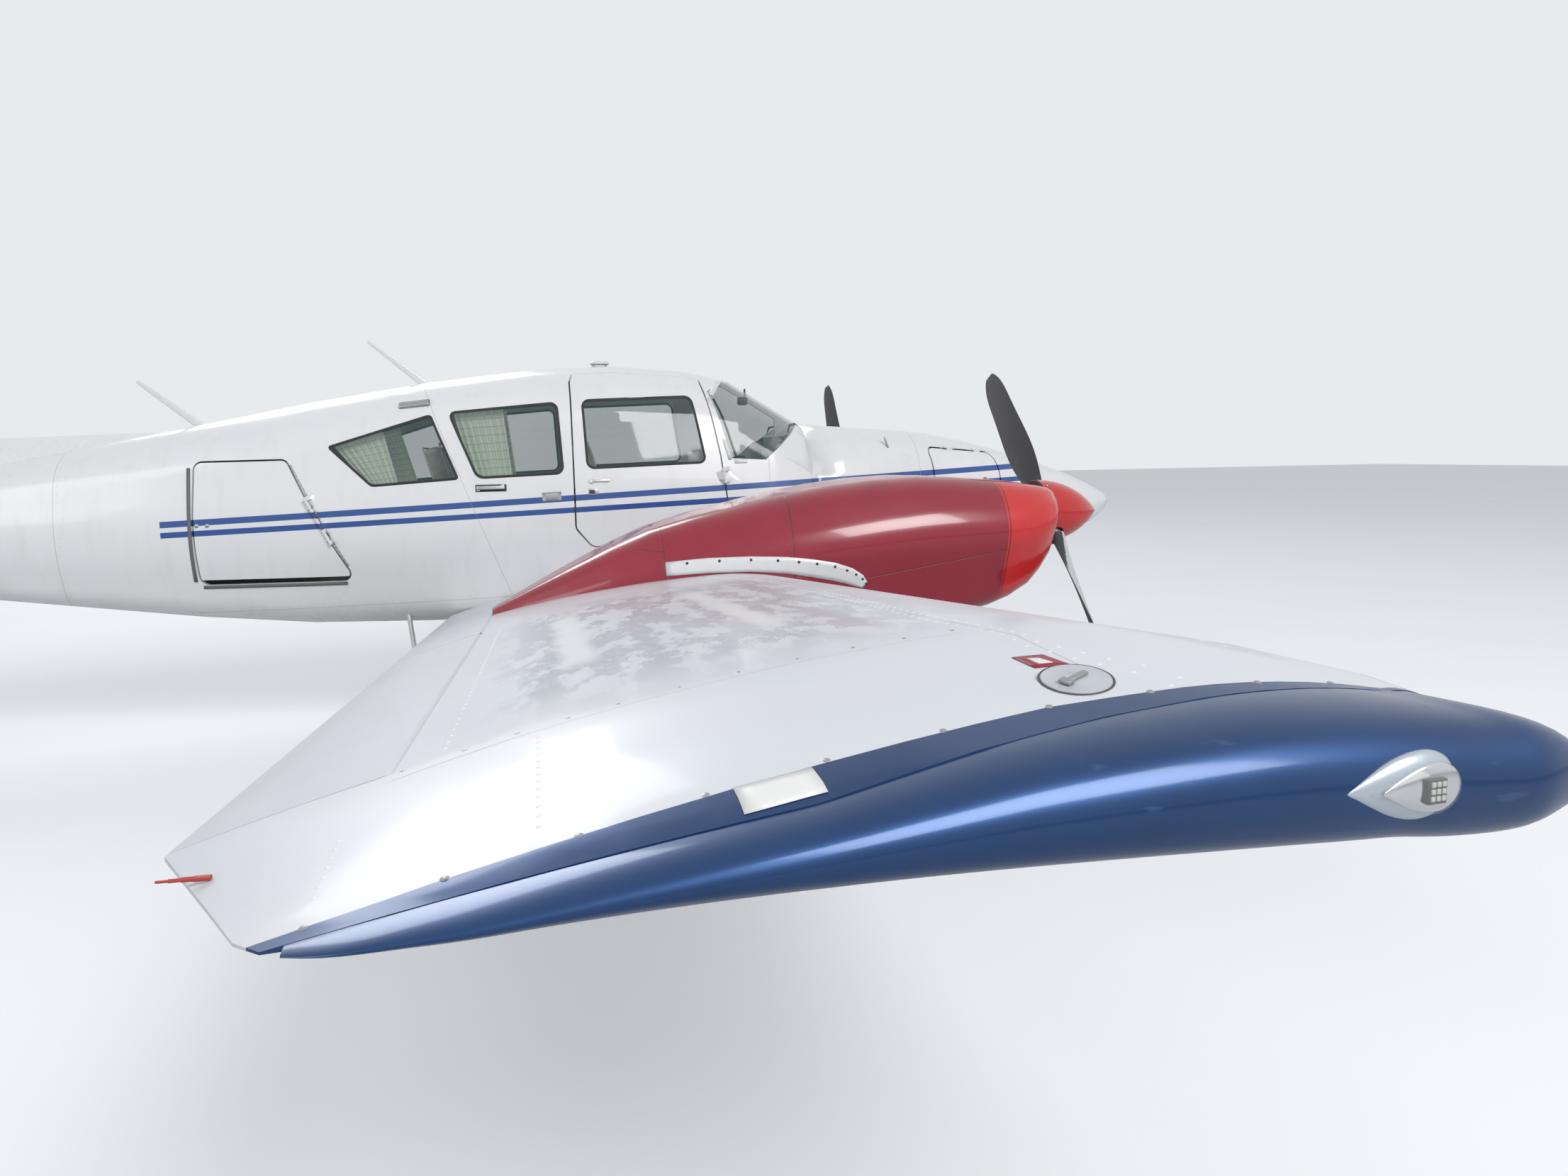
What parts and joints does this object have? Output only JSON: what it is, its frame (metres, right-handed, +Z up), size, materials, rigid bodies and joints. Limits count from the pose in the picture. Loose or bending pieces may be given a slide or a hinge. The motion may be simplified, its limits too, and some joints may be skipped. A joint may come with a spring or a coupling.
{
  "type": "twin-engine light aircraft",
  "caption": "Low-wing light aircraft with an engine on each wing, a cabin with doors that open, control surfaces that move and a wheeled undercarriage.",
  "frame": {"origin": "on the ground below the middle of the aircraft's box", "axes": "+X forward to the nose, +Y to port along the span, +Z up"},
  "size_m": [9.21, 11.34, 3.13],
  "materials": {
    "white_paint": "gloss white paint",
    "blue_paint": "metallic blue paint",
    "red_paint": "gloss crimson paint",
    "glass_tint": "tinted acrylic",
    "blade_paint": "satin black paint on aluminium",
    "wheel_metal": "painted cast wheel",
    "tyre_rubber": "black rubber",
    "leg_steel": "steel and chrome oleo legs",
    "engine_metal": "rough cast metal",
    "seat_cloth": "woven seat covers",
    "panel_plastic": "matt black panel"
  },
  "bodies": {
    "airframe": {"nose_section": "white_paint", "cabin_shell": "white_paint", "rear_fuselage": "white_paint", "fin": "white_paint", "aerial_front": "white_paint", "aerial_rear": "white_paint", "boarding_step": "leg_steel", "nav_lamp_right": "glass_tint", "nav_lamp_left": "glass_tint", "windscreen": "glass_tint", "window_left_front": "glass_tint", "window_left_middle": "glass_tint", "window_left_rear": "glass_tint", "window_right_middle": "glass_tint", "window_right_rear": "glass_tint", "wing_right": "white_paint", "tip_cap_right": "blue_paint", "nacelle_right": "red_paint", "engine_right": "engine_metal", "main_leg_right": "leg_steel", "seat_front_right": "seat_cloth", "wing_left": "white_paint", "tip_cap_left": "blue_paint", "nacelle_left": "red_paint", "engine_left": "engine_metal", "main_leg_left": "leg_steel", "seat_front_left": "seat_cloth", "nose_leg": "leg_steel", "bench_middle": "seat_cloth", "bench_rear": "seat_cloth", "instrument_panel": "panel_plastic"},
    "rudder": {"rudder": "white_paint"},
    "stabilator": {"stabilator": "white_paint"},
    "cabin_door": {"cabin_door": "white_paint", "cabin_door_window": "glass_tint"},
    "rear_baggage_door": {"rear_baggage_door": "white_paint"},
    "nose_baggage_door": {"nose_baggage_door": "white_paint"},
    "aileron_right": {"aileron_right": "white_paint"},
    "flap_right": {"flap_right": "white_paint"},
    "propeller_right": {"propeller_right": "blade_paint", "spinner_right": "red_paint"},
    "main_wheel_right": {"main_wheel_right": "wheel_metal", "main_tyre_right": "tyre_rubber"},
    "aileron_left": {"aileron_left": "white_paint"},
    "flap_left": {"flap_left": "white_paint"},
    "propeller_left": {"propeller_left": "blade_paint", "spinner_left": "red_paint"},
    "main_wheel_left": {"main_wheel_left": "wheel_metal", "main_tyre_left": "tyre_rubber"},
    "nose_fork": {"nose_fork": "leg_steel"},
    "nose_wheel": {"nose_wheel": "wheel_metal", "nose_tyre": "tyre_rubber"}
  },
  "joints": [
    {"name": "propeller_right_spin", "type": "hinge", "parent": "airframe", "child": "propeller_right", "pos_m": [3.26, -1.8, 1.228], "axis": [1, 0, 0], "continuous": true},
    {"name": "main_wheel_right_roll", "type": "hinge", "parent": "airframe", "child": "main_wheel_right", "pos_m": [1.05, -1.725, 0.238], "axis": [0, 1, 0], "continuous": true},
    {"name": "aileron_right_hinge", "type": "hinge", "parent": "airframe", "child": "aileron_right", "pos_m": [0.61, -4, 0.9713], "axis": [0, 0.997, -0.0769], "range_deg": [-15, 30]},
    {"name": "flap_right_hinge", "type": "hinge", "parent": "airframe", "child": "flap_right", "pos_m": [0.61, -1.7, 0.79392], "axis": [0, 0.997, -0.0769], "range_deg": [-50, 0]},
    {"name": "propeller_left_spin", "type": "hinge", "parent": "airframe", "child": "propeller_left", "pos_m": [3.26, 1.8, 1.228], "axis": [1, 0, 0], "continuous": true},
    {"name": "main_wheel_left_roll", "type": "hinge", "parent": "airframe", "child": "main_wheel_left", "pos_m": [1.05, 1.725, 0.238], "axis": [0, 1, 0], "continuous": true},
    {"name": "aileron_left_hinge", "type": "hinge", "parent": "airframe", "child": "aileron_left", "pos_m": [0.61, 4, 0.9713], "axis": [0, 0.997, 0.0769], "range_deg": [-15, 30]},
    {"name": "flap_left_hinge", "type": "hinge", "parent": "airframe", "child": "flap_left", "pos_m": [0.61, 1.7, 0.79392], "axis": [0, 0.997, 0.0769], "range_deg": [-50, 0]},
    {"name": "nose_steering", "type": "hinge", "parent": "airframe", "child": "nose_fork", "pos_m": [3.34, 0, 0.48], "axis": [0, 0, 1], "range_deg": [-30, 30]},
    {"name": "nose_wheel_roll", "type": "hinge", "parent": "nose_fork", "child": "nose_wheel", "pos_m": [3.34, 0, 0.222], "axis": [0, 1, 0], "continuous": true},
    {"name": "cabin_door_hinge", "type": "hinge", "parent": "airframe", "child": "cabin_door", "pos_m": [1.86, -0.605, 1.52], "axis": [-0.139, 0, 0.9903], "range_deg": [0, 55]},
    {"name": "rear_baggage_door_hinge", "type": "hinge", "parent": "airframe", "child": "rear_baggage_door", "pos_m": [-0.309, -0.575, 1.2105], "axis": [-0.4335, 0, 0.9011], "range_deg": [0, 85]},
    {"name": "nose_baggage_door_hinge", "type": "hinge", "parent": "airframe", "child": "nose_baggage_door", "pos_m": [3.457, -0.268, 1.541], "axis": [-0.9532, -0.293, 0.075], "range_deg": [0, 80]},
    {"name": "rudder_hinge", "type": "hinge", "parent": "airframe", "child": "rudder", "pos_m": [-4.11, 0, 1.8], "axis": [0, 0, 1], "range_deg": [-25, 25]},
    {"name": "stabilator_pivot", "type": "hinge", "parent": "airframe", "child": "stabilator", "pos_m": [-3.72, 0, 1.118], "axis": [0, 1, 0], "range_deg": [-8, 16]}
  ],
  "couplings": [
    {"joint": "flap_left_hinge", "follows": "flap_right_hinge", "ratio": 1}
  ]
}
